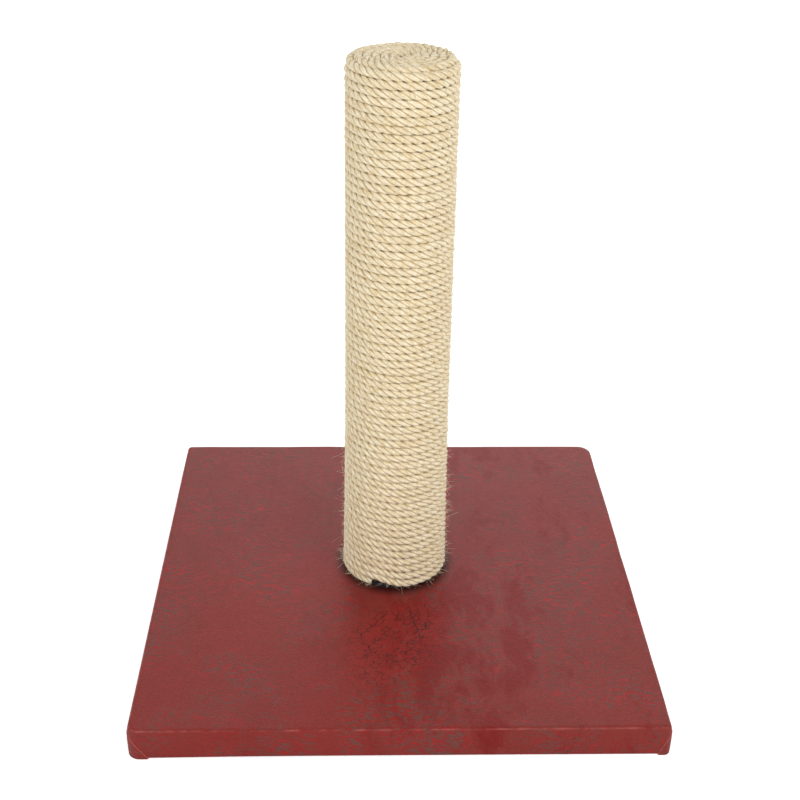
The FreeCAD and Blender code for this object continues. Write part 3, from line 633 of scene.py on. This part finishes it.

    # Painted shadow round the post's foot, where it presses on the cover.
    plan = add("Mapping", {"Vector": place, "Scale": (1, 1, 0)})
    axis = (*map(float, POST_AXIS), 0)
    from_post = add("VectorMath", {0: plan, 1: axis}, operation="DISTANCE").outputs["Value"]
    reach = {"Value": from_post, "From Min": 55 * MM, "From Max": 42 * MM, "To Max": 0.85}
    foot_shadow = add("MapRange", reach, **SMOOTH)
    body = add("Mix", {"Factor": foot_shadow, "A": body, "B": linear("1E0D0B")}, **TINTED)
    # Painted highlight along the top edge and the folds' lips.
    edge = add("Attribute", attribute_name="depth").outputs["Fac"]
    highlight_weight = add("MapRange", {"Value": edge, "From Min": 0.1, "From Max": 1.0, "To Max": 0.5}, **SMOOTH)
    body = add("Mix", {"Factor": highlight_weight, "A": body, "B": cover.edge_highlight}, **TINTED)

    grain = add("TexNoise", {"Vector": place, "Scale": 900.0, "Detail": 2.0, "Roughness": 0.7})
    spread = {"Value": grain, "From Min": 0.3, "From Max": 0.7, "To Min": 0.85, "To Max": 1.15}
    speck = add("MapRange", spread, **SMOOTH)
    speck = add("CombineColor", {0: speck, 1: speck, 2: speck})
    body = add("Mix", {"Factor": 1.0, "A": body, "B": speck}, blend_type="MULTIPLY", **TINTED)

    # Relief: creases about 0.2 mm deep, then the skin's grain, drawn 1.1 mm wide, and the cracks.
    height = add("Math", {0: crease, 1: 0.55}, operation="MULTIPLY")
    height = add("Math", {0: grain, 1: 0.16, 2: height}, operation="MULTIPLY_ADD")
    height = add("Math", {0: cracked, 1: -0.4, 2: height}, operation="MULTIPLY_ADD")
    relief = add("Bump", {"Height": height, "Strength": 0.6, "Distance": 0.7 * MM})
    dull = {"Value": crease, "From Min": 0.35, "From Max": 0.65, "To Min": 0.42, "To Max": 0.55}
    dull = add("MapRange", dull, **SMOOTH)
    finish = {"Base Color": body, "Roughness": dull, "Specular IOR Level": 0.18, "Normal": relief}
    add("OutputMaterial", {"Surface": add("BsdfPrincipled", finish)})
    return material


def sisal_rope(rope):
    """Three-strand sisal rope, oiled: straw-coloured leaf fibre, spun and laid.

    The eye sees pale crowns and grooves darkened with painted tan shade, and on them fine light and dark fibres that
    run nearly along the rope.
    """
    material, place, add = new_material("laid_sisal_rope")
    coords = add("UVMap", uv_map="along")
    depth = add("Attribute", attribute_name="depth").outputs["Fac"]
    # Sisal fibres are 0.2 mm thick and run in bundles, drawn here 0.9 mm wide and 6 mm long.
    lines = add("Mapping", {"Vector": coords, "Rotation": (0, 0, 0.12), "Scale": (160, 1150, 1)})
    spun = {"Vector": lines, "Scale": 1.0, "Detail": 5.0, "Roughness": 0.7, "Distortion": 0.4}
    fibres = add("TexNoise", spun)
    shades = ((0.32, rope.dark), (0.42, linear("DCC593")), (0.5, rope.middle), (0.6, rope.light))
    tint = add("ValToRGB", {"Fac": fibres}, stops=(*shades, (0.72, linear("FFFAEE"))))
    # Tufts 8 mm across, slow changes from turn to turn up the post, and knots of fibre 1.6 mm across.
    tufts = add("TexNoise", {"Vector": place, "Scale": 130.0, "Detail": 3.0, "Roughness": 0.6})
    tufts = add("MapRange", {"Value": tufts, "From Min": 0.4, "From Max": 0.68, "To Max": 0.3}, **SMOOTH)
    tint = add("Mix", {"Factor": tufts, "A": tint, "B": linear("FBF4E2")}, **TINTED)
    turns = add("Mapping", {"Vector": place, "Scale": (12, 12, 70)})
    turns = add("TexNoise", {"Vector": turns, "Scale": 1.0, "Detail": 2.0, "Roughness": 0.55})
    turns = add("MapRange", {"Value": turns, "From Min": 0.35, "From Max": 0.7, "To Max": 0.16}, **SMOOTH)
    tint = add("Mix", {"Factor": turns, "A": tint, "B": linear("D9C292")}, **TINTED)
    knots = add("TexNoise", {"Vector": place, "Scale": 620.0, "Detail": 3.0, "Roughness": 0.7})
    dim = add("MapRange", {"Value": knots, "From Min": 0.47, "From Max": 0.3, "To Max": 0.55}, **SMOOTH)
    tint = add("Mix", {"Factor": dim, "A": tint, "B": rope.dark}, **TINTED)
    lit = add("MapRange", {"Value": knots, "From Min": 0.53, "From Max": 0.7, "To Max": 0.5}, **SMOOTH)
    tint = add("Mix", {"Factor": lit, "A": tint, "B": linear("FFFBF0")}, **TINTED)
    # Painted shade in the grooves between the strands.
    groove_shade = add("MapRange", {"Value": depth, "From Min": 0.45, "From Max": 0.02, "To Max": 0.7}, **SMOOTH)
    tint = add("Mix", {"Factor": groove_shade, "A": tint, "B": rope.dark}, blend_type="MULTIPLY", **TINTED)
    height = add("Math", {0: knots, 1: 0.5}, operation="MULTIPLY")
    height = add("Math", {0: fibres, 1: 0.8, 2: height}, operation="MULTIPLY_ADD")
    relief = add("Bump", {"Height": height, "Strength": 0.9, "Distance": 0.6 * MM})
    finish = {"Base Color": tint, "Roughness": 0.72, "Sheen Weight": 0.12, "Normal": relief}
    add("OutputMaterial", {"Surface": add("BsdfPrincipled", finish)})
    return material


def loose_sisal_fibre(rope):
    """Single sisal fibres: pale, stiff and slightly glossy."""
    material, place, add = new_material("loose_sisal_fibre")
    shade = add("TexNoise", {"Vector": place, "Scale": 300.0, "Detail": 1.0, "Roughness": 0.55})
    tint = add("ValToRGB", {"Fac": shade}, stops=((0.35, rope.middle), (0.65, linear("F7EFD8"))))
    add("OutputMaterial", {"Surface": add("BsdfPrincipled", {"Base Color": tint, "Roughness": 0.5})})
    return material


def needled_felt(cover):
    """Black needled polyester felt: a matt mat of fine fibres, drawn as tangles 1.4 mm across so that they show."""
    material, place, add = new_material("needled_polyester_felt")
    tangle = {"Vector": place, "Scale": 700.0, "Detail": 5.0, "Roughness": 0.75, "Distortion": 1.5}
    mat = add("TexNoise", tangle)
    shades = ((0.35, linear("1C1C1E")), (0.6, cover.felt), (0.8, linear("4A4A4D")))
    tint = add("ValToRGB", {"Fac": mat}, stops=shades)
    relief = add("Bump", {"Height": mat, "Strength": 0.7, "Distance": 0.5 * MM})
    finish = {"Base Color": tint, "Roughness": 0.95, "Normal": relief}
    add("OutputMaterial", {"Surface": add("BsdfPrincipled", finish)})
    return material


def black_polypropylene():
    """Injection-moulded black polypropylene with a fine spark-eroded grain, drawn 0.8 mm wide so that it shows."""
    material, place, add = new_material("moulded_black_polypropylene")
    grain = add("TexNoise", {"Vector": place, "Scale": 1200.0, "Detail": 2.0, "Roughness": 0.55})
    tint = add("ValToRGB", {"Fac": grain}, stops=((0.3, linear("16181B")), (0.7, linear("212428"))))
    relief = add("Bump", {"Height": grain, "Strength": 0.3, "Distance": 0.2 * MM})
    finish = {"Base Color": tint, "Roughness": 0.42, "Normal": relief}
    add("OutputMaterial", {"Surface": add("BsdfPrincipled", finish)})
    return material


def spiral_wound_cardboard():
    """Wound grey-brown cardboard: strips of recycled paper 60 mm wide with glued seams, and pulp flecks of 2.4 mm."""
    material, place, add = new_material("spiral_wound_cardboard")
    pulp = add("TexNoise", {"Vector": place, "Scale": 420.0, "Detail": 5.0, "Roughness": 0.7})
    tint = add("ValToRGB", {"Fac": pulp}, stops=((0.3, linear("8C7A62")), (0.7, linear("B29E82"))))
    strips = {"Vector": place, "Scale": 5.0, "Distortion": 0.2}
    seams = add("TexWave", strips, bands_direction="Z").outputs["Fac"]
    fall = {"Value": seams, "From Min": 0.04, "From Max": 0.0, "To Max": 0.5}
    seams = add("MapRange", fall, **SMOOTH)
    tint = add("Mix", {"Factor": seams, "A": tint, "B": linear("6E5F4B")}, **TINTED)
    add("OutputMaterial", {"Surface": add("BsdfPrincipled", {"Base Color": tint, "Roughness": 0.9})})
    return material


def particle_board():
    """Raw particle board: pressed wood chips of 1 to 4 mm in resin."""
    material, place, add = new_material("raw_particle_board")
    chips = add("TexVoronoi", {"Vector": place, "Scale": 380.0}).outputs["Color"]
    shade = add("SeparateColor", {"Color": chips})
    shades = ((0.0, linear("A98A5E")), (0.5, linear("C9AC7C")), (1.0, linear("DCC59A")))
    tint = add("ValToRGB", {"Fac": shade}, stops=shades)
    relief = add("Bump", {"Height": shade, "Strength": 0.4, "Distance": 0.3 * MM})
    finish = {"Base Color": tint, "Roughness": 0.85, "Normal": relief}
    add("OutputMaterial", {"Surface": add("BsdfPrincipled", finish)})
    return material


def zinc_plated_steel():
    """Bright zinc-plated steel, as on stock bolts: a pale bluish metal with faint clouds 6 mm across."""
    material, place, add = new_material("bright_zinc_plated_steel")
    cloud = add("TexNoise", {"Vector": place, "Scale": 160.0, "Detail": 3.0, "Roughness": 0.55})
    tint = add("ValToRGB", {"Fac": cloud}, stops=((0.3, linear("B9BDC2")), (0.7, linear("D6D9DC"))))
    dull = {"Value": cloud, "From Min": 0.3, "From Max": 0.7, "To Min": 0.25, "To Max": 0.4}
    dull = add("MapRange", dull, **SMOOTH)
    finish = {"Base Color": tint, "Metallic": 1.0, "Roughness": dull}
    add("OutputMaterial", {"Surface": add("BsdfPrincipled", finish)})
    return material


def galvanised_wire():
    """Galvanised steel wire, drawn and flattened: a duller grey metal with draw lines 0.3 mm apart."""
    material, place, add = new_material("galvanised_staple_wire")
    lines = add("Mapping", {"Vector": place, "Scale": (3000, 3000, 60)})
    lines = add("TexNoise", {"Vector": lines, "Scale": 1.0, "Detail": 2.0, "Roughness": 0.55})
    tint = add("ValToRGB", {"Fac": lines}, stops=((0.3, linear("9EA1A3")), (0.7, linear("C4C6C7"))))
    finish = {"Base Color": tint, "Metallic": 1.0, "Roughness": 0.38}
    add("OutputMaterial", {"Surface": add("BsdfPrincipled", finish)})
    return material


def studio_paper(stage):
    """Matt white studio paper, which glows a little for the camera alone, so that it reads as white."""
    material, place, add = new_material("matt_studio_paper")
    fibre = add("TexNoise", {"Vector": place, "Scale": 60.0, "Detail": 2.0, "Roughness": 0.55})
    shade = (*(0.995 * part for part in stage.floor[:3]), 1.0)
    tint = add("ValToRGB", {"Fac": fibre}, stops=((0.0, shade), (1.0, stage.floor)))
    seen = add("LightPath").outputs["Is Camera Ray"]
    glow = add("Math", {0: seen, 1: stage.backdrop}, operation="MULTIPLY")
    finish = {"Base Color": tint, "Roughness": 1.0, "Specular IOR Level": 0.0}
    finish |= {"Emission Color": (1, 1, 1, 1), "Emission Strength": glow}
    add("OutputMaterial", {"Surface": add("BsdfPrincipled", finish)})
    return material


# -------------------------------------------- rigid pieces and stage


def finish_fittings():
    """The CAD nodes that keep their own shape get their finishes through their material slots."""
    plastic, steel = black_polypropylene(), zinc_plated_steel()
    finishes = {
        "base_board": particle_board(),
        "cover_staples": galvanised_wire(),
        "core_tube": spiral_wound_cardboard(),
        "post_foot_cap": plastic,
        "post_top_cap": plastic,
        "post_bolt": steel,
        "post_nut": steel,
        "bolt_washer": steel,
    }
    for node, material in finishes.items():
        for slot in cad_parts[node].material_slots:
            slot.material = material


def placed(right, above, back, place):
    """The matrix that turns an object's own axes to these three and moves it to a place."""
    matrix = np.eye(4)
    matrix[:3] = np.stack([right, above, back, place], axis=-1)
    return Matrix(matrix.tolist())


def camera_matrix(stage):
    """The camera's place and turn, from its pitch, yaw and roll."""
    pitch, yaw, roll = stage.camera_pitch, stage.camera_yaw, stage.camera_roll
    ahead = np.array([math.sin(yaw) * math.cos(pitch), math.cos(yaw) * math.cos(pitch), -math.sin(pitch)])
    right = np.array([math.cos(yaw), -math.sin(yaw), 0.0])
    above = np.cross(right, ahead)
    right, above = math.cos(roll) * right + math.sin(roll) * above, -math.sin(roll) * right + math.cos(roll) * above
    return placed(right, above, -ahead, (stage.camera_side, -stage.camera_distance, stage.camera_height))


def area_light(name, power, size, place, target):
    """A square soft light that faces a point."""
    lamp = bpy.data.lights.new(name, "AREA")
    lamp.energy, lamp.size = power, size
    light = bpy.data.objects.new(name, lamp)
    back = unit(np.array(place) - np.array(target))
    right = unit(np.cross([0.0, 0.0, 1.0], back))
    light.matrix_world = placed(right, np.cross(back, right), back, place)
    bpy.context.scene.collection.objects.link(light)


def set_stage(stage):
    """Floor, even sky, three soft lights and the camera at the photograph's angle."""
    scene = bpy.context.scene
    half = 6.0  # metres from the middle of the floor to its sides
    points = half * np.array([(-1, -1, 0), (1, -1, 0), (1, 1, 0), (-1, 1, 0)])
    floor = make_mesh("floor", points, np.array([[0, 1, 2, 3]]))
    floor.data.materials.append(studio_paper(stage))

    world = bpy.data.worlds.new("even_white_sky")
    world.use_nodes = True
    world.node_tree.nodes.clear()
    add = partial(add_node, world.node_tree)
    path = add("LightPath").outputs
    seen = add("Math", {0: path["Is Camera Ray"], 1: path["Is Glossy Ray"]}, operation="MAXIMUM")
    seen = add("Math", {0: seen, 1: path["Is Transmission Ray"]}, operation="MAXIMUM")
    light = add("Background", {"Color": (1, 1, 1, 1), "Strength": stage.sky})
    backdrop = add("Background", {"Color": (1, 1, 1, 1), "Strength": 1.0})
    sky = add("MixShader", {0: seen, 1: light, 2: backdrop})
    add("OutputWorld", {"Surface": sky})
    scene.world = world

    area_light("key", stage.key, 1.2, (1.0, -1.35, 0.95), (0, 0, 0.2))
    area_light("fill", stage.fill, 1.4, (-1.4, -0.95, 0.85), (0, 0, 0.2))
    area_light("back", stage.back, 1.6, (0.2, 1.7, 0.75), (0, 0, 0.1))
    lens = bpy.data.cameras.new("photograph_view")
    lens.lens, lens.sensor_width = stage.lens, 36
    camera = bpy.data.objects.new("photograph_view", lens)
    camera.matrix_world = camera_matrix(stage)
    scene.collection.objects.link(camera)
    scene.camera = camera
    scene.view_settings.view_transform = "Standard"


# -------------------------------------------- operators, panel and registration


class POST_OT_wind_rope(bpy.types.Operator):
    """Wind the laid rope up the post and over its top, and draw out its loose fibres"""

    bl_idname = "scratching_post.wind_rope"
    bl_label = "Wind Rope"

    def execute(self, context):
        rope = context.scene.scratching_post_rope
        fray_rope(rope, wind_rope(rope))
        return {"FINISHED"}


class POST_OT_stretch_cover(bpy.types.Operator):
    """Stretch the leatherette over the base board and lap its corners"""

    bl_idname = "scratching_post.stretch_cover"
    bl_label = "Stretch Cover"

    def execute(self, context):
        stretch_cover(context.scene.scratching_post_cover)
        return {"FINISHED"}


class POST_OT_lay_liner(bpy.types.Operator):
    """Lay the felt under the base"""

    bl_idname = "scratching_post.lay_liner"
    bl_label = "Lay Felt"

    def execute(self, context):
        lay_liner(context.scene.scratching_post_cover)
        return {"FINISHED"}


class POST_OT_finish_fittings(bpy.types.Operator):
    """Give the board, tube, caps, bolt, nut, washer and staples their finishes"""

    bl_idname = "scratching_post.finish_fittings"
    bl_label = "Finish Fittings"

    def execute(self, context):
        finish_fittings()
        return {"FINISHED"}


class POST_OT_set_stage(bpy.types.Operator):
    """Set the floor, the lights and the camera"""

    bl_idname = "scratching_post.set_stage"
    bl_label = "Set Stage"

    def execute(self, context):
        set_stage(context.scene.scratching_post_stage)
        return {"FINISHED"}


OPERATORS = (
    POST_OT_wind_rope,
    POST_OT_stretch_cover,
    POST_OT_lay_liner,
    POST_OT_finish_fittings,
    POST_OT_set_stage,
)


class POST_PT_sidebar(bpy.types.Panel):
    """The post's operators and settings"""

    bl_label = "Scratching Post"
    bl_space_type = "VIEW_3D"
    bl_region_type = "UI"
    bl_category = "Scratching Post"

    def draw(self, context):
        for operator in OPERATORS:
            self.layout.operator(operator.bl_idname)
        for name in SETTINGS:
            box = self.layout.box()
            group = getattr(context.scene, name)
            for setting in group.bl_rna.properties.keys():
                if setting not in ("rna_type", "name"):
                    box.prop(group, setting)


SETTINGS = {
    "scratching_post_rope": RopeSettings,
    "scratching_post_cover": CoverSettings,
    "scratching_post_stage": StageSettings,
}
CLASSES = (*SETTINGS.values(), *OPERATORS, POST_PT_sidebar)


def register():
    """Adds the classes, and the settings to the scene."""
    for cls in CLASSES:
        bpy.utils.register_class(cls)
    for name, group in SETTINGS.items():
        setattr(bpy.types.Scene, name, PointerProperty(type=group))


def unregister():
    """Takes the settings and the classes away again."""
    for name in SETTINGS:
        delattr(bpy.types.Scene, name)
    for cls in reversed(CLASSES):
        bpy.utils.unregister_class(cls)


def main():
    """Makes the pieces and the stage."""
    register()
    bpy.ops.scratching_post.stretch_cover()
    bpy.ops.scratching_post.lay_liner()
    bpy.ops.scratching_post.wind_rope()
    bpy.ops.scratching_post.finish_fittings()
    bpy.ops.scratching_post.set_stage()


if __name__ == "__main__":
    main()
